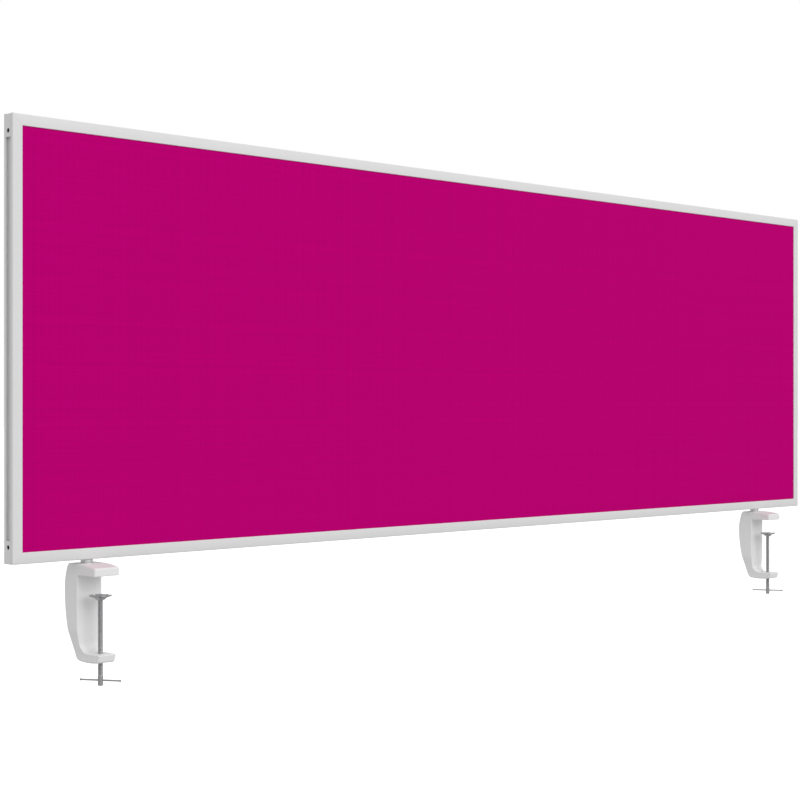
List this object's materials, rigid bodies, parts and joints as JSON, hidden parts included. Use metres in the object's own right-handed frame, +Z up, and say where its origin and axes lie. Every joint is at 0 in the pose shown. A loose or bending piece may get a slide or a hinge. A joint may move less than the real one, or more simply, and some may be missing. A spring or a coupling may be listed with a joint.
{
  "type": "desk privacy panel",
  "caption": "Fabric-covered privacy panel in a slim mitred frame, held above a desk by screw clamps that slide along the frame's bottom channel and swivel",
  "frame": {"origin": "On the plane of the desk top, under the middle of the panel's length and thickness", "axes": "+X along the panel to the right as its front is faced, +Y towards the back, away from the desk, +Z up. The desk lies at -Y"},
  "size_m": [1.6, 0.069, 0.6429],
  "materials": {
    "frame_metal": "satin",
    "joiner_metal": "satin",
    "clamp_coating": "satin",
    "zinc_steel": "satin",
    "bright_steel": "polished",
    "black_steel": "satin",
    "core_board": "matte",
    "panel_fabric": "matte"
  },
  "bodies": {
    "panel": {"frame_bottom_rail": "frame_metal", "frame_top_rail": "frame_metal", "frame_left_stile": "frame_metal", "frame_right_stile": "frame_metal", "corner_joiner_lower_left": "joiner_metal", "corner_joiner_upper_left": "joiner_metal", "corner_joiner_lower_right": "joiner_metal", "corner_joiner_upper_right": "joiner_metal", "corner_grub_screws": "black_steel", "core_board": "core_board", "front_fabric": "panel_fabric", "rear_fabric": "panel_fabric"},
    "left_slider": {"left_slide_nut": "zinc_steel"},
    "left_clamp": {"left_clamp_body": "clamp_coating", "left_mounting_stud": "zinc_steel", "left_spacer_collar": "joiner_metal"},
    "left_plate": {"left_pressure_plate": "bright_steel"},
    "left_screw": {"left_clamp_screw": "zinc_steel"},
    "left_bar": {"left_tommy_bar": "zinc_steel"},
    "right_slider": {"right_slide_nut": "zinc_steel"},
    "right_clamp": {"right_clamp_body": "clamp_coating", "right_mounting_stud": "zinc_steel", "right_spacer_collar": "joiner_metal"},
    "right_plate": {"right_pressure_plate": "bright_steel"},
    "right_screw": {"right_clamp_screw": "zinc_steel"},
    "right_bar": {"right_tommy_bar": "zinc_steel"}
  },
  "joints": [
    {"name": "left_clamp_slide", "type": "slide", "parent": "panel", "child": "left_slider", "axis": [1, 0, 0], "range_m": [-0.068, 0.622]},
    {"name": "left_clamp_swivel", "type": "hinge", "parent": "left_slider", "child": "left_clamp", "pos_m": [-0.695, 0, 0.0175], "axis": [0, 0, 1], "continuous": true},
    {"name": "left_screw_feed", "type": "slide", "parent": "left_clamp", "child": "left_plate", "axis": [0, 0, 1], "range_m": [-0.06, 0.017]},
    {"name": "left_screw_turn", "type": "hinge", "parent": "left_plate", "child": "left_screw", "pos_m": [-0.695, -0.0266, -0.1], "axis": [0, 0, 1], "range_deg": [-21600, 6120]},
    {"name": "left_bar_slide", "type": "slide", "parent": "left_screw", "child": "left_bar", "axis": [0.515, -0.8572, 0], "range_m": [-0.02, 0.02]},
    {"name": "right_clamp_slide", "type": "slide", "parent": "panel", "child": "right_slider", "axis": [1, 0, 0], "range_m": [-0.604, 0.086]},
    {"name": "right_clamp_swivel", "type": "hinge", "parent": "right_slider", "child": "right_clamp", "pos_m": [0.677, 0, 0.0175], "axis": [0, 0, 1], "continuous": true},
    {"name": "right_screw_feed", "type": "slide", "parent": "right_clamp", "child": "right_plate", "axis": [0, 0, 1], "range_m": [-0.06, 0.017]},
    {"name": "right_screw_turn", "type": "hinge", "parent": "right_plate", "child": "right_screw", "pos_m": [0.677, -0.0266, -0.1], "axis": [0, 0, 1], "range_deg": [-21600, 6120]},
    {"name": "right_bar_slide", "type": "slide", "parent": "right_screw", "child": "right_bar", "axis": [0.515, -0.8572, 0], "range_m": [-0.02, 0.02]}
  ],
  "couplings": [
    {"joint": "left_screw_turn", "follows": "left_screw_feed", "rad_per_m": 6283.2},
    {"joint": "right_screw_turn", "follows": "right_screw_feed", "rad_per_m": 6283.2}
  ]
}
